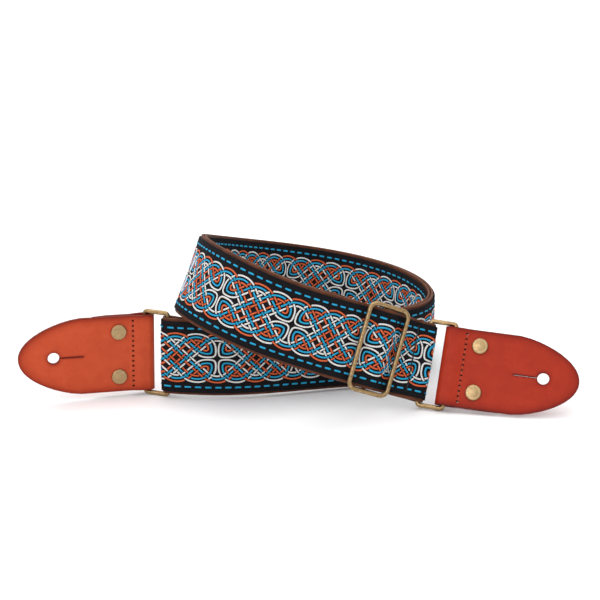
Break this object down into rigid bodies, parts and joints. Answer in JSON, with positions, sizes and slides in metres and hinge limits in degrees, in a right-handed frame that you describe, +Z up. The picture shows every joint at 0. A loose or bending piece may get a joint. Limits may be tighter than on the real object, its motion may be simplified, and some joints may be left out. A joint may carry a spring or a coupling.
{
  "type": "guitar strap",
  "caption": "Coiled adjustable guitar strap: patterned ribbon on leather, with a brass slider, wire rings, and riveted leather tabs with slit button holes.",
  "frame": {"origin": "centre of the bounding box's base, on the surface the strap stands on", "axes": "+Z up, across the band; +X along the strap's length from the left tab to the right tab; -Y towards the ribbon's front band"},
  "size_m": [0.3464, 0.2103, 0.1009],
  "materials": {
    "ribbon_weave": "matte jacquard weave: black twill ground, interlaced knotwork strands in turquoise, orange and white, and a row of turquoise dashes along each edge",
    "backing_leather": "satin brown leather with tan cut edges",
    "tab_leather": "satin orange-red leather with dark burnished edges",
    "antique_brass": "brushed antique brass",
    "black_thread": "matte",
    "brown_thread": "matte"
  },
  "bodies": {
    "strap": {"strap_ribbon": "ribbon_weave", "strap_backing": "backing_leather", "slider_seam_thread": "black_thread", "ring_seam_thread": "black_thread"},
    "slider": {"slider_frame": "antique_brass", "slider_centre_bar": "antique_brass"},
    "left_ring": {"left_ring": "antique_brass"},
    "left_tab": {"left_tab": "tab_leather", "left_tab_seam_thread": "brown_thread", "left_lower_rivet_cap": "antique_brass", "left_lower_rivet_post": "antique_brass", "left_upper_rivet_cap": "antique_brass", "left_upper_rivet_post": "antique_brass"},
    "right_ring": {"right_ring": "antique_brass"},
    "right_tab": {"right_tab": "tab_leather", "right_tab_seam_thread": "brown_thread", "right_lower_rivet_cap": "antique_brass", "right_lower_rivet_post": "antique_brass", "right_upper_rivet_cap": "antique_brass", "right_upper_rivet_post": "antique_brass"}
  },
  "joints": [
    {"name": "left_ring_hinge", "type": "hinge", "parent": "strap", "child": "left_ring", "pos_m": [-0.08111, -0.0582, 0.02827], "axis": [0.0163, -0.0063, 0.9998], "range_deg": [-30, 70]},
    {"name": "left_tab_hinge", "type": "hinge", "parent": "left_ring", "child": "left_tab", "pos_m": [-0.09607, -0.05255, 0.02855], "axis": [0.0163, -0.0063, 0.9998], "range_deg": [-90, 45]},
    {"name": "right_ring_hinge", "type": "hinge", "parent": "strap", "child": "right_ring", "pos_m": [0.0797, -0.06991, 0.02664], "axis": [0.1873, 0.4492, 0.8736], "range_deg": [-60, 30]},
    {"name": "right_tab_hinge", "type": "hinge", "parent": "right_ring", "child": "right_tab", "pos_m": [0.09517, -0.07377, 0.0253], "axis": [0.1873, 0.4492, 0.8736], "range_deg": [-60, 45]},
    {"name": "slider_swivel", "type": "hinge", "parent": "strap", "child": "slider", "pos_m": [0.04797, -0.08417, 0.04042], "axis": [0.2763, 0.2817, 0.9189], "range_deg": [-4, 4]}
  ]
}
